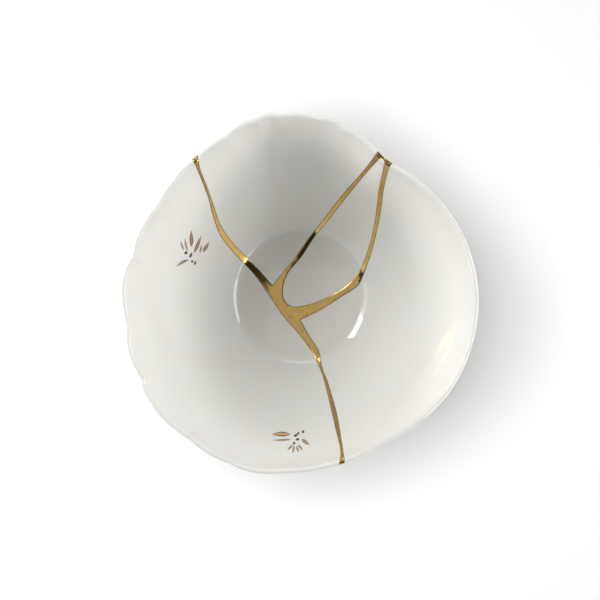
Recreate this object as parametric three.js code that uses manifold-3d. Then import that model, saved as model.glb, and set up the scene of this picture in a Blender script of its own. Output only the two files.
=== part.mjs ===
// A kintsugi bowl: four shards of glazed porcelain held together by one gold-finished seam.
// Millimetres, +Z up. The foot ring stands on z = 0 and the rim's outline is centred over the origin.
// The front of the bowl is -Y. Angles are in degrees, counterclockwise from +X, seen from above.

import * as THREE from 'three';
import { mergeVertices } from 'three/addons/utils/BufferGeometryUtils.js';
import Module from 'manifold-3d';

const wasm = await Module();
wasm.setup();

// Driving dimensions of the wall's section.
const rimHeight = 74; // the lip's centre line; the lip's own roundness stands above it
const rimRadius = 72.6; // inside face at the rim, before the outline's waves
const lipThickness = 2.1;
const wallFootThickness = 4.2;
const rimSlope = 72; // degrees from level
const wallFootSlope = 42;
const floorHeight = 8; // the middle of the floor inside
const floorCurveRadius = 90; // the floor is a shallow dish
const floorEdgeRadius = 27.6;
const filletRun = 3; // level run from the floor's edge to the fillet's corner
const filletRise = 4; // length along the wall from the fillet's corner to the wall's foot

// The foot ring, as [radius, height], from the skirt under the wall round to the base.
const footRing = [
  [32.4, 7],
  [31.2, 4.8],
  [30.4, 0],
  [27.6, 0],
  [26.8, 4.2],
];
const baseHeight = 4.2;

// The seam stands a little proud of the glaze, and is kept off the surface that the foot stands on.
const seamProud = 0.3;
const seamFootRecess = 0.2;
const jointGap = 0.3;

// Rim outline: the outside radius at each angle, joined by one smooth curve.
const rimNodes = [
  [57.8, 67.6], [61.5, 68.7], [76, 73.7], [84, 75.5], [96, 76.8], [104, 76.7], [115.5, 74.2],
  [128, 72.8], [150, 71.8], [168, 73], [190, 74.8], [208.5, 76.2], [232.5, 77.2], [247, 77.4],
  [265, 75.7], [284, 73.6], [300, 72.6], [315, 74.3], [328, 75.4], [345, 75.6], [362, 75.1],
  [380, 73.3], [397, 70.8], [412, 68.3],
];

// Scallops between the rim's cusps: [from, to, bulge, lean]. A lean under 1 puts the fullest point early.
const scallops = [
  [61.5, 76, 0.4, 1], [76, 84, 1.1, 0.8], [84, 96, 0.3, 1], [96, 104, 0.7, 1.2],
  [104, 115.5, 0.7, 1.1], [115.5, 128, 0.3, 1], [128, 150, 0.7, 0.7], [150, 168, 1.1, 0.8],
  [168, 190, 2, 0.65], [190, 208.5, 1.3, 1.1], [208.5, 232.5, 1.8, 0.6], [232.5, 247, 0.4, 1],
  [247, 265, 0.9, 0.9],
];

// How far the rim rises above or sinks below its usual height.
const rimRises = [
  [57, -0.9], [66, -0.3], [100, 0.7], [140, 0.3], [195, 0.9], [245, 0.6], [290, -0.2], [350, -0.6],
];
const scallopRise = 0.35; // the rim also rises with each scallop, by this much of its bulge

// How fast the scallops die away down the wall. Inside, only the lip shows them.
const insideFade = 9;
const outsideFade = 1.6;

// Broken edges in plan. Each run is one smooth curve, and two runs meet in a corner.
// Every outline goes round its shard counterclockwise; the rim closes all but the leaf.
const brokenEdges = {
  left_shard: [
    [
      [16, -76], [16.3, -71], [16.9, -66], [15.1, -57.5], [12.6, -46], [9.6, -34.5], [5, -24.6],
      [-2, -15.2], [-8.2, -8], [-14, 0.4], [-20.8, 10], [-28.6, 18.4], [-35.2, 26.2], [-38.5, 34.5],
      [-40.3, 42.5], [-43.2, 51], [-45.2, 55.8], [-48.5, 60.5],
    ],
  ],
  back_shard: [
    [
      [-44.2, 61], [-43, 56.8], [-42.6, 53.2], [-40.4, 47], [-38, 39.5], [-35.7, 32.3], [-31.2, 25.4],
      [-24.5, 18.4], [-18.2, 12], [-12.8, 5.5],
    ],
    [
      [-12.8, 5.5], [-8.4, 11.3], [-3.4, 17.2], [3.4, 26.7], [10.6, 35.5], [18.4, 45], [26.3, 53],
      [31.3, 58.6], [35, 64],
    ],
  ],
  leaf_shard: [
    [
      [33.9, 57.6], [28.3, 52.7], [21, 44.7], [12.8, 35.1], [6, 27], [0.7, 19], [-5.6, 11.4], [-8, 4.4],
      [-7.2, -1.4], [-3, -4], [3.8, -3], [11.8, 0], [18.8, 3.9], [23.8, 8],
    ],
    [
      [23.8, 8], [27, 12.2], [29.9, 19.6], [32.2, 28.2], [33.6, 38], [34.1, 46.2], [35.2, 53.4],
      [35.2, 56.4], [33.9, 57.6],
    ],
  ],
  right_shard: [
    [
      [43, 60.5], [39.8, 56.2], [37.6, 53.4], [36.2, 46], [35.4, 36.5], [33.7, 26.8], [31, 16.6],
      [27.6, 7.6],
    ],
    [[27.6, 7.6], [25.8, 5], [19.2, 0.7], [10, -5.2], [0, -10.1]],
    [
      [0, -10.1], [3.4, -16.4], [8.4, -24.4], [9.9, -31.8], [12.7, -39.5], [16.1, -52], [17.9, -64],
      [18.6, -70.5], [19, -77],
    ],
  ],
};

const porcelain = { color: 0xefede8, roughness: 0.12, metalness: 0 };
const goldFinish = { color: 0xc39a45, roughness: 0.22, metalness: 1 };

// How finely the surfaces are cut into flat faces.
const angleSteps = 100;
const filletSteps = 3;
const wallSteps = 7;
const lipSteps = 4;
const edgeStep = 3;
const outsideReach = 95;

const radians = THREE.MathUtils.degToRad;

// A smooth closed curve of value against angle, through [angle, value] nodes in rising order.
function smoothRound(nodes, angle) {
  const count = nodes.length;
  const node = (i) => {
    const turn = Math.floor(i / count);
    const [a, value] = nodes[i - turn * count];
    return [a + 360 * turn, value];
  };
  const slope = (i) => {
    const [a0, v0] = node(i - 1);
    const [a1, v1] = node(i);
    const [a2, v2] = node(i + 1);
    const before = (v1 - v0) / (a1 - a0);
    const after = (v2 - v1) / (a2 - a1);
    return (before * (a2 - a1) + after * (a1 - a0)) / (a2 - a0);
  };
  const first = nodes[0][0];
  const a = first + THREE.MathUtils.euclideanModulo(angle - first, 360);
  let i = 0;
  while (node(i + 1)[0] <= a) {
    i += 1;
  }
  const [a0, v0] = node(i);
  const [a1, v1] = node(i + 1);
  const width = a1 - a0;
  const u = (a - a0) / width;
  const rise = u * u * (3 - 2 * u);
  const leave = u * (1 - u) * (1 - u) * width * slope(i);
  const arrive = u * u * (u - 1) * width * slope(i + 1);
  return v0 + (v1 - v0) * rise + leave + arrive;
}

function scallop(angle) {
  const first = scallops[0][0];
  const a = first + THREE.MathUtils.euclideanModulo(angle - first, 360);
  const found = scallops.find(([from, to]) => a >= from && a < to);
  if (!found) {
    return 0;
  }
  const [from, to, bulge, lean] = found;
  return bulge * Math.sin(Math.PI * ((a - from) / (to - from)) ** lean);
}

// The point where a line through p at angle a meets a line through q at angle b.
function crossing(p, a, q, b) {
  const along = new THREE.Vector2(Math.cos(a), Math.sin(a));
  const other = new THREE.Vector2(Math.cos(b), Math.sin(b));
  const gap = new THREE.Vector2().subVectors(q, p);
  const distance = gap.cross(other) / along.cross(other);
  return p.clone().addScaledVector(along, distance);
}

// The section inside: a dished floor, a fillet and the wall, each starting as the one before ends.
const floorEdgeSlope = Math.asin(floorEdgeRadius / floorCurveRadius);
const floorEdge = new THREE.Vector2(
  floorEdgeRadius,
  floorHeight + floorCurveRadius * (1 - Math.cos(floorEdgeSlope)),
);
const filletCorner = floorEdge.clone().add(new THREE.Vector2(filletRun, filletRun * Math.tan(floorEdgeSlope)));
const wallRise = new THREE.Vector2(filletRise, 0).rotateAround(new THREE.Vector2(), radians(wallFootSlope));
const wallFoot = filletCorner.clone().add(wallRise);
const rimEnd = new THREE.Vector2(rimRadius, rimHeight);
const wallBend = crossing(wallFoot, radians(wallFootSlope), rimEnd, radians(rimSlope));
const filletCurve = new THREE.QuadraticBezierCurve(floorEdge, filletCorner, wallFoot);
const wallCurve = new THREE.QuadraticBezierCurve(wallFoot, wallBend, rimEnd);

// The inside face's point and its normal, which points into the bowl, at fraction t up the wall.
// The rim's outline and rise fade out down the wall, and the scallops fade faster inside than outside.
function wallPoint(t, angle, scallopFade) {
  const outline = smoothRound(rimNodes, angle) - lipThickness - rimRadius;
  const wave = scallop(angle);
  const rise = smoothRound(rimRises, angle) + scallopRise * wave;
  const point = wallCurve.getPoint(t);
  const tangent = wallCurve.getTangent(t);
  point.x += outline * t + wave * t ** scallopFade;
  point.y += rise * t ** 2;
  return { point, normal: new THREE.Vector2(-tangent.y, tangent.x) };
}

// One half section as [radius, height] points: up the inside, over the lip, down the outside to the base.
// proud moves every face out of the porcelain, and footLift raises the foot ring's tread.
function section(angle, proud, footLift) {
  const points = [new THREE.Vector2(floorEdgeRadius / 2, floorHeight + floorCurveRadius
    * (1 - Math.cos(floorEdgeSlope / 2)) + proud)];
  for (let i = 0; i < filletSteps; i += 1) {
    const tangent = filletCurve.getTangent(i / filletSteps);
    const normal = new THREE.Vector2(-tangent.y, tangent.x);
    points.push(filletCurve.getPoint(i / filletSteps).addScaledVector(normal, proud));
  }
  for (let i = 0; i <= wallSteps; i += 1) {
    const { point, normal } = wallPoint(i / wallSteps, angle, insideFade);
    points.push(point.addScaledVector(normal, proud));
  }
  const lip = wallPoint(1, angle, insideFade);
  const lipCentre = lip.point.clone().addScaledVector(lip.normal, -lipThickness / 2);
  const lipUp = new THREE.Vector2(lip.normal.y, -lip.normal.x);
  for (let i = 1; i < lipSteps; i += 1) {
    const turn = (Math.PI * i) / lipSteps;
    const out = lip.normal.clone().multiplyScalar(Math.cos(turn)).addScaledVector(lipUp, Math.sin(turn));
    points.push(lipCentre.clone().addScaledVector(out, lipThickness / 2 + proud));
  }
  for (let i = wallSteps; i >= 0; i -= 1) {
    const t = i / wallSteps;
    const { point, normal } = wallPoint(t, angle, outsideFade);
    const thickness = THREE.MathUtils.lerp(wallFootThickness, lipThickness, t);
    points.push(point.addScaledVector(normal, -thickness - proud));
  }
  for (const [radius, height] of footRing) {
    const onTread = height === 0;
    points.push(new THREE.Vector2(radius, onTread ? footLift : height - proud));
  }
  return points;
}

// The whole wall as one closed solid: the half section carried round the axis.
function bowlWall(proud, footLift) {
  const sections = [];
  for (let i = 0; i < angleSteps; i += 1) {
    sections.push(section((360 * i) / angleSteps, proud, footLift));
  }
  const rings = sections[0].length;
  const positions = [0, 0, floorHeight + proud, 0, 0, baseHeight - proud];
  sections.forEach((points, i) => {
    const angle = (2 * Math.PI * i) / angleSteps;
    points.forEach(({ x, y }) => positions.push(x * Math.cos(angle), x * Math.sin(angle), y));
  });
  const corner = (i, ring) => 2 + (i % angleSteps) * rings + ring;
  const faces = [];
  for (let i = 0; i < angleSteps; i += 1) {
    faces.push(0, corner(i, 0), corner(i + 1, 0));
    faces.push(1, corner(i + 1, rings - 1), corner(i, rings - 1));
    for (let ring = 0; ring < rings - 1; ring += 1) {
      faces.push(corner(i, ring), corner(i, ring + 1), corner(i + 1, ring + 1));
      faces.push(corner(i, ring), corner(i + 1, ring + 1), corner(i + 1, ring));
    }
  }
  const geometry = new THREE.BufferGeometry();
  geometry.setAttribute('position', new THREE.Float32BufferAttribute(positions, 3));
  geometry.setIndex(faces);
  return solid(geometry);
}

// A shard's outline in plan: its broken edges, closed round the outside of the rim.
function shardOutline(runs) {
  const outline = [];
  for (const run of runs) {
    const curve = new THREE.SplineCurve(run.map(([x, y]) => new THREE.Vector2(x, y)));
    outline.push(...curve.getSpacedPoints(Math.ceil(curve.getLength() / edgeStep)).slice(0, -1));
  }
  const [startX, startY] = runs[0][0];
  const [endX, endY] = runs.at(-1).at(-1);
  const closed = startX === endX && startY === endY;
  if (!closed) {
    outline.push(new THREE.Vector2(endX, endY));
    const start = Math.atan2(startY, startX);
    let end = Math.atan2(endY, endX);
    if (start < end) {
      end -= 2 * Math.PI;
    }
    outline.push(...new THREE.EllipseCurve(0, 0, outsideReach, outsideReach, end, start, false).getPoints(24));
  }
  return outline;
}

// The outline moved outwards by a distance, with its corners kept sharp.
function widen(outline, distance) {
  const edgeNormal = (from, to) => new THREE.Vector2(to.y - from.y, from.x - to.x).normalize();
  return outline.map((point, i) => {
    const before = edgeNormal(outline.at(i - 1), point);
    const after = edgeNormal(point, outline[(i + 1) % outline.length]);
    const scale = distance / (1 + before.dot(after));
    return point.clone().addScaledVector(before.add(after), scale);
  });
}

// An upright prism over an outline, taller than the bowl.
function prism(outline) {
  const shape = new THREE.Shape(outline);
  const geometry = new THREE.ExtrudeGeometry(shape, { depth: rimHeight + 40, bevelEnabled: false });
  geometry.translate(0, 0, -20);
  return solid(geometry);
}

function solid(geometry) {
  geometry.deleteAttribute('normal');
  geometry.deleteAttribute('uv');
  const merged = mergeVertices(geometry, 1e-5);
  return new wasm.Manifold(new wasm.Mesh({
    numProp: 3,
    vertProperties: new Float32Array(merged.attributes.position.array),
    triVerts: new Uint32Array(merged.index.array),
  }));
}

function piece(name, shape, finish) {
  const { vertProperties, triVerts } = shape.getMesh();
  const geometry = new THREE.BufferGeometry();
  geometry.setAttribute('position', new THREE.BufferAttribute(vertProperties, 3));
  geometry.setIndex(new THREE.BufferAttribute(triVerts, 1));
  geometry.computeVertexNormals();
  const mesh = new THREE.Mesh(geometry, new THREE.MeshStandardMaterial(finish));
  mesh.name = name;
  return mesh;
}

const bowl = new THREE.Group();
const wall = bowlWall(0, 0);
let seam = bowlWall(seamProud, seamFootRecess);
for (const [name, runs] of Object.entries(brokenEdges)) {
  const outline = shardOutline(runs);
  bowl.add(piece(name, wall.intersect(prism(outline)), porcelain));
  seam = seam.subtract(prism(widen(outline, jointGap)));
}
bowl.add(piece('gold_seam', seam, goldFinish));

export default bowl;
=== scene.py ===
"""A kintsugi bowl: glazed porcelain shards, the raised gold seam between them and two painted sprigs."""

import math

import bpy
import numpy as np
from mathutils import Matrix, Vector
from mathutils.geometry import delaunay_2d_cdt
from mathutils.kdtree import KDTree


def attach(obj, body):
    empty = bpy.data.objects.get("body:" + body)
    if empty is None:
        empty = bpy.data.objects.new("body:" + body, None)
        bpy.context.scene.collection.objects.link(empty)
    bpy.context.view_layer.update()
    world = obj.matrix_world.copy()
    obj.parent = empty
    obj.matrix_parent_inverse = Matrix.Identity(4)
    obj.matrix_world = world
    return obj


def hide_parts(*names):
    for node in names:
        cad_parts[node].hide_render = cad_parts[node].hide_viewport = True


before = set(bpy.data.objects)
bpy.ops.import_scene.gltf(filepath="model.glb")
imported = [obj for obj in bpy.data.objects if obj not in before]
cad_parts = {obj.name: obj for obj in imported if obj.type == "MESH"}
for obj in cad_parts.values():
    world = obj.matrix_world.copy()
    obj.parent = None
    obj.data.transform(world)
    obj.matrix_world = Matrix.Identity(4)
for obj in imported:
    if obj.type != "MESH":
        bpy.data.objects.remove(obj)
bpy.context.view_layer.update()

MM = 0.001  # lengths below are in millimetres, and meshes are made in metres

# The wall's section. These repeat the CAD part's own dimensions.
RIM_HEIGHT = 74
RIM_RADIUS = 72.6
LIP_THICKNESS = 2.1
WALL_FOOT_THICKNESS = 4.2
RIM_SLOPE = math.radians(72)
WALL_FOOT_SLOPE = math.radians(42)
FLOOR_HEIGHT = 8
FLOOR_CURVE_RADIUS = 90
FLOOR_EDGE_RADIUS = 27.6
FILLET_LEVEL_RUN = 3
FILLET_RISE = 4
INSIDE_FADE = 9  # how fast the scallops die away down the wall, inside and outside
OUTSIDE_FADE = 1.6
SCALLOP_RISE = 0.35

# The foot, from the middle of the base outwards, as [radius, height, how far the corner is rounded back].
FOOT = [[26.8, 4.2, 1.8], [27.6, 0, 0.6], [30.4, 0, 0.6], [31.2, 4.8, 0.7], [32.4, 7, 0.7]]
BASE_HEIGHT = 4.2

# Rim outline: the outside radius at each angle in degrees, joined by one smooth curve.
RIM_NODES = [
    [57.8, 67.6], [61.5, 68.7], [76, 73.7], [84, 75.5], [96, 76.8], [104, 76.7], [115.5, 74.2],
    [128, 72.8], [150, 71.8], [168, 73], [190, 74.8], [208.5, 76.2], [232.5, 77.2], [247, 77.4],
    [265, 75.7], [284, 73.6], [300, 72.6], [315, 74.3], [328, 75.4], [345, 75.6], [362, 75.1],
    [380, 73.3], [397, 70.8], [412, 68.3],
]

# Scallops between the rim's cusps: [from, to, bulge, lean]. A lean under 1 puts the fullest point early.
SCALLOPS = [
    [61.5, 76, 0.4, 1], [76, 84, 1.1, 0.8], [84, 96, 0.3, 1], [96, 104, 0.7, 1.2],
    [104, 115.5, 0.7, 1.1], [115.5, 128, 0.3, 1], [128, 150, 0.7, 0.7], [150, 168, 1.1, 0.8],
    [168, 190, 2, 0.65], [190, 208.5, 1.3, 1.1], [208.5, 232.5, 1.8, 0.6], [232.5, 247, 0.4, 1],
    [247, 265, 0.9, 0.9],
]

# How far the rim rises above or sinks below its usual height, at each angle.
RIM_RISES = [
    [57, -0.9], [66, -0.3], [100, 0.7], [140, 0.3], [195, 0.9], [245, 0.6], [290, -0.2], [350, -0.6],
]

# Broken edges in plan. Each run is one smooth curve, and two runs meet in a corner.
# Every outline goes round its shard counterclockwise; the rim closes all but the leaf.
BROKEN_EDGES = {
    "left_shard": [
        [
            [16, -76], [16.3, -71], [16.9, -66], [15.1, -57.5], [12.6, -46], [9.6, -34.5], [5, -24.6],
            [-2, -15.2], [-8.2, -8], [-14, 0.4], [-20.8, 10], [-28.6, 18.4], [-35.2, 26.2],
            [-38.5, 34.5], [-40.3, 42.5], [-43.2, 51], [-45.2, 55.8], [-48.5, 60.5],
        ],
    ],
    "back_shard": [
        [
            [-44.2, 61], [-43, 56.8], [-42.6, 53.2], [-40.4, 47], [-38, 39.5], [-35.7, 32.3],
            [-31.2, 25.4], [-24.5, 18.4], [-18.2, 12], [-12.8, 5.5],
        ],
        [
            [-12.8, 5.5], [-8.4, 11.3], [-3.4, 17.2], [3.4, 26.7], [10.6, 35.5], [18.4, 45],
            [26.3, 53], [31.3, 58.6], [35, 64],
        ],
    ],
    "leaf_shard": [
        [
            [33.9, 57.6], [28.3, 52.7], [21, 44.7], [12.8, 35.1], [6, 27], [0.7, 19], [-5.6, 11.4],
            [-8, 4.4], [-7.2, -1.4], [-3, -4], [3.8, -3], [11.8, 0], [18.8, 3.9], [23.8, 8],
        ],
        [
            [23.8, 8], [27, 12.2], [29.9, 19.6], [32.2, 28.2], [33.6, 38], [34.1, 46.2],
            [35.2, 53.4], [35.2, 56.4], [33.9, 57.6],
        ],
    ],
    "right_shard": [
        [
            [43, 60.5], [39.8, 56.2], [37.6, 53.4], [36.2, 46], [35.4, 36.5], [33.7, 26.8],
            [31, 16.6], [27.6, 7.6],
        ],
        [[27.6, 7.6], [25.8, 5], [19.2, 0.7], [10, -5.2], [0, -10.1]],
        [
            [0, -10.1], [3.4, -16.4], [8.4, -24.4], [9.9, -31.8], [12.7, -39.5], [16.1, -52],
            [17.9, -64], [18.6, -70.5], [19, -77],
        ],
    ],
}


# ---------------------------------------------------------------- the bowl's surfaces

def smooth_round(nodes, angle):
    """A smooth closed curve of value against angle, through [angle, value] nodes in rising order."""
    at, value = np.array(nodes, float).T
    at = np.concatenate([at[-1:] - 360, at, at[:2] + 360])
    value = np.concatenate([value[-1:], value, value[:2]])
    step = np.diff(at)
    rate = np.diff(value) / step
    slope = (rate[:-1] * step[1:] + rate[1:] * step[:-1]) / (step[:-1] + step[1:])
    a = at[1] + (angle - at[1]) % 360
    i = np.clip(np.searchsorted(at, a, side="right") - 1, 1, len(nodes))
    u = (a - at[i]) / step[i]
    rise = u * u * (3 - 2 * u)
    leave = u * (1 - u) ** 2 * step[i] * slope[i - 1]
    arrive = u * u * (u - 1) * step[i] * slope[i]
    return value[i] + (value[i + 1] - value[i]) * rise + leave + arrive


def scallop(angle):
    """How far the rim bulges between its cusps."""
    a = SCALLOPS[0][0] + (angle - SCALLOPS[0][0]) % 360
    bulges = np.zeros_like(a)
    for start, end, bulge, lean in SCALLOPS:
        u = np.clip((a - start) / (end - start), 0, 1)
        bulges += bulge * np.sin(math.pi * u**lean)
    return bulges


def bezier(corners, t):
    """A quadratic Bezier curve's points."""
    start, bend, end = corners
    t = np.asarray(t, float)[..., None]
    return (1 - t) ** 2 * start + 2 * t * (1 - t) * bend + t**2 * end


def bezier_tangent(corners, t):
    """The same curve's direction, as unit vectors."""
    start, bend, end = corners
    t = np.asarray(t, float)[..., None]
    along = (1 - t) * (bend - start) + t * (end - bend)
    return along / np.linalg.norm(along, axis=-1, keepdims=True)


def across(direction):
    """Turned a quarter turn left. On a section that runs outwards and up, this points into the bowl."""
    return np.stack([-direction[..., 1], direction[..., 0]], -1)


def sloping(slope):
    return np.array([math.cos(slope), math.sin(slope)])


def crossing(p, slope_p, q, slope_q):
    """The point where a line through p at one slope meets a line through q at another."""
    a, b = sloping(slope_p), sloping(slope_q)
    distance = np.cross(q - p, b) / np.cross(a, b)
    return p + a * distance


def rounded(corners):
    """A section through [radius, height, cut-back] corners, each rounded by a short curve."""
    points = [np.array(corners[0][:2], float)]
    for before, corner, after in zip(corners, corners[1:], corners[2:]):
        here = np.array(corner[:2], float)
        back = np.array(before[:2], float) - here
        on = np.array(after[:2], float) - here
        start = here + back * corner[2] / np.linalg.norm(back)
        end = here + on * corner[2] / np.linalg.norm(on)
        points.extend(bezier([start, here, end], np.linspace(0, 1, 9)))
    points.append(np.array(corners[-1][:2], float))
    return np.array(points)


floor_edge_slope = math.asin(FLOOR_EDGE_RADIUS / FLOOR_CURVE_RADIUS)
floor_edge = np.array([
    FLOOR_EDGE_RADIUS,
    FLOOR_HEIGHT + FLOOR_CURVE_RADIUS * (1 - math.cos(floor_edge_slope)),
])
fillet_corner = floor_edge + np.array([FILLET_LEVEL_RUN, FILLET_LEVEL_RUN * math.tan(floor_edge_slope)])
wall_foot = fillet_corner + FILLET_RISE * sloping(WALL_FOOT_SLOPE)
rim_end = np.array([RIM_RADIUS, RIM_HEIGHT], float)
wall_bend = crossing(wall_foot, WALL_FOOT_SLOPE, rim_end, RIM_SLOPE)
fillet_curve = [floor_edge, fillet_corner, wall_foot]
wall_curve = [wall_foot, wall_bend, rim_end]

outer_wall_foot = wall_foot - across(sloping(WALL_FOOT_SLOPE)) * WALL_FOOT_THICKNESS
foot_section = rounded([[0, BASE_HEIGHT, 0], *FOOT, [*outer_wall_foot, 0]])
foot_runs = np.concatenate([[0], np.cumsum(np.linalg.norm(np.diff(foot_section, axis=0), axis=1))])

# A place on either face is a run, the length along the section from the middle, and an angle.
lip_radius = LIP_THICKNESS / 2
LIP_TURN = math.pi / 2 + RIM_SLOPE  # from the inside face over the top to the rim's widest line
floor_run = FLOOR_CURVE_RADIUS * floor_edge_slope
fillet_run = floor_run + FILLET_LEVEL_RUN + FILLET_RISE
wall_length = np.linalg.norm(np.diff(bezier(wall_curve, np.linspace(0, 1, 200)), axis=0), axis=1).sum()
wall_run = fillet_run + wall_length
inside_end = wall_run + lip_radius * LIP_TURN
foot_run = foot_runs[-1]
outer_wall_run = foot_run + wall_length
outside_end = outer_wall_run + lip_radius * (math.pi - LIP_TURN)


def wall_point(t, angle, fade, depth):
    """A point at fraction t up the wall and at a depth under its inside face, as [radius, height]."""
    outline = smooth_round(RIM_NODES, angle) - LIP_THICKNESS - RIM_RADIUS
    wave = scallop(angle)
    rise = smooth_round(RIM_RISES, angle) + SCALLOP_RISE * wave
    point = bezier(wall_curve, t)
    point[..., 0] += outline * t + wave * t**fade
    point[..., 1] += rise * t**2
    return point - across(bezier_tangent(wall_curve, t)) * depth[..., None]


def lip_point(turn, angle):
    """A point on the rounded lip, turned from the inside face over the top."""
    ones = np.ones_like(angle)
    centre = wall_point(ones, angle, INSIDE_FADE, ones * lip_radius)
    out = np.stack([-np.sin(RIM_SLOPE - turn), np.cos(RIM_SLOPE - turn)], -1)
    return centre + out * lip_radius


def inside_section(run, angle):
    """The inside face, as [radius, height]: floor, fillet, wall and the lip out to its widest line."""
    slope = np.minimum(run, floor_run) / FLOOR_CURVE_RADIUS
    dish = FLOOR_CURVE_RADIUS * np.stack([np.sin(slope), 1 - np.cos(slope)], -1) + [0, FLOOR_HEIGHT]
    fillet = bezier(fillet_curve, np.clip((run - floor_run) / (fillet_run - floor_run), 0, 1))
    t = np.clip((run - fillet_run) / wall_length, 0, 1)
    wall = wall_point(t, angle, INSIDE_FADE, np.zeros_like(t))
    lip = lip_point(np.clip((run - wall_run) / lip_radius, 0, LIP_TURN), angle)
    run = run[..., None]
    above_fillet = np.where(run < wall_run, wall, lip)
    above_floor = np.where(run < fillet_run, fillet, above_fillet)
    return np.where(run < floor_run, dish, above_floor)


def outside_section(run, angle):
    """The outside face, as [radius, height]: base, foot ring, wall and the lip up to its widest line."""
    foot = np.stack([np.interp(run, foot_runs, foot_section[:, axis]) for axis in (0, 1)], -1)
    t = np.clip((run - foot_run) / wall_length, 0, 1)
    depth = WALL_FOOT_THICKNESS + (LIP_THICKNESS - WALL_FOOT_THICKNESS) * t
    wall = wall_point(t, angle, OUTSIDE_FADE, depth)
    back = np.clip((run - outer_wall_run) / lip_radius, 0, math.pi - LIP_TURN)
    lip = lip_point(math.pi - back, angle)
    run = run[..., None]
    above_foot = np.where(run < outer_wall_run, wall, lip)
    return np.where(run < foot_run, foot, above_foot)


def turned(section_points, angle):
    """Section points carried round to their angles, in space."""
    radius, height = section_points[..., 0], section_points[..., 1]
    a = np.radians(angle)
    return np.stack([radius * np.cos(a), radius * np.sin(a), height], -1)


def unrolled(run, angle):
    """Places laid out flat round the middle by their runs, where a sheet is divided into triangles."""
    a = np.radians(angle)
    return np.stack([run * np.cos(a), run * np.sin(a)], -1)


def run_at(section, longest, radius, angle):
    """The run at which a section reaches a radius, found by halving."""
    low = np.zeros_like(radius)
    high = np.full_like(radius, longest)
    for _ in range(36):
        middle = (low + high) / 2
        beyond = section(middle, angle)[..., 0] > radius
        high = np.where(beyond, middle, high)
        low = np.where(beyond, low, middle)
    return (low + high) / 2


def widest(angle):
    """The rim's widest radius at an angle."""
    return lip_point(np.full_like(angle, LIP_TURN), angle)[..., 0]


FACES = {"inside": (inside_section, inside_end), "outside": (outside_section, outside_end)}


# ---------------------------------------------------------------- outlines

EDGE_SPACING = 0.55  # between points along a broken edge, and closer where it turns over the lip
LIP_SPACING = 0.2
LIP_REACH = 2.5  # how far in from the rim's widest line the closer spacing starts
RIM_STEP = 0.5  # degrees
ON_RIM = 1e-4  # a point this near the rim's widest line is on it


def smooth_line(points):
    """A smooth curve through points, as a fine polyline, with the CAD outline's own spline."""
    p = np.array(points, float)
    p = np.concatenate([p[:1], p, p[-1:]])
    line = []
    for p0, p1, p2, p3 in zip(p, p[1:], p[2:], p[3:]):
        count = math.ceil(np.linalg.norm(p2 - p1) / 0.03)
        t = (np.arange(count) / count)[:, None]
        leave, arrive = (p2 - p0) / 2, (p3 - p1) / 2
        line.append(
            (2 * p1 - 2 * p2 + leave + arrive) * t**3
            + (3 * p2 - 3 * p1 - 2 * leave - arrive) * t**2
            + leave * t
            + p1
        )
    return np.concatenate([*line, p[-1:]])


def moved_out(line, distance, closed):
    """A polyline moved to its right by a distance, with its corners kept sharp."""
    following = np.roll(line, -1, axis=0) - line
    leaving = following / np.maximum(np.linalg.norm(following, axis=1, keepdims=True), 1e-9)
    if not closed:
        leaving[-1] = leaving[-2]
    arriving = np.roll(leaving, 1, axis=0)
    if not closed:
        arriving[0] = leaving[0]
    turn = -across(leaving) - across(arriving)
    scale = distance / (1 + (leaving * arriving).sum(1))
    return line + turn * scale[:, None]


def polar(line):
    return np.hypot(line[:, 0], line[:, 1]), np.degrees(np.arctan2(line[:, 1], line[:, 0]))


def spaced(line):
    """A fine polyline thinned to an even spacing on whichever face it runs longer over."""
    radius, angle = polar(line)
    paces = []
    for section, longest in FACES.values():
        run = run_at(section, longest, radius, angle)
        step = np.linalg.norm(np.diff(turned(section(run, angle), angle), axis=0), axis=1)
        on_lip = radius[1:] > widest(angle[1:]) - LIP_REACH
        paces.append(step / np.where(on_lip, LIP_SPACING, EDGE_SPACING))
    pace = np.concatenate([[0], np.cumsum(np.maximum(*paces))])
    count = max(2, math.ceil(pace[-1]))
    marks = np.linspace(0, pace[-1], count + 1)
    return np.stack([np.interp(marks, pace, line[:, axis]) for axis in (0, 1)], -1)


def cut_at_rim(line):
    """The stretch of a polyline that lies inside the rim's widest line, ending on it."""
    radius, angle = polar(line)
    past = radius - widest(angle)
    inner = np.flatnonzero(past < 0)
    first, last = inner[0], inner[-1]
    ends = []
    for a, b in ((first - 1, first), (last + 1, last)):
        if 0 <= a < len(line):
            share = past[b] / (past[b] - past[a])
            ends.append(line[b] + (line[a] - line[b]) * share)
        else:
            ends.append(None)
    kept = list(line[first:last + 1])
    head = [ends[0]] if ends[0] is not None else []
    tail = [ends[1]] if ends[1] is not None else []
    return np.array(head + kept + tail)


def broken_edge(name, gap=0.0):
    """A shard's broken edge in plan, moved away from it by a gap."""
    runs = [smooth_line(run) for run in BROKEN_EDGES[name]]
    closed = bool(np.allclose(runs[0][0], runs[-1][-1]))
    line = np.concatenate([run[:-1] for run in runs] + ([] if closed else [runs[-1][-1:]]))
    line = moved_out(line, gap, closed)
    if closed:
        return spaced(np.concatenate([line, line[:1]]))[:-1]
    return spaced(cut_at_rim(line))


def rim_arc(start, end):
    """Points on the rim's widest line, counterclockwise between two points on it, without them."""
    (_, (a, b)) = polar(np.array([start, end]))
    b = a + (b - a) % 360
    angle = np.arange(math.floor(a / RIM_STEP) + 1, math.ceil(b / RIM_STEP)) * RIM_STEP
    angle = angle[(angle > a + 0.1) & (angle < b - 0.1)]
    radius = widest(angle)
    return np.stack([radius * np.cos(np.radians(angle)), radius * np.sin(np.radians(angle))], -1)


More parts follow.
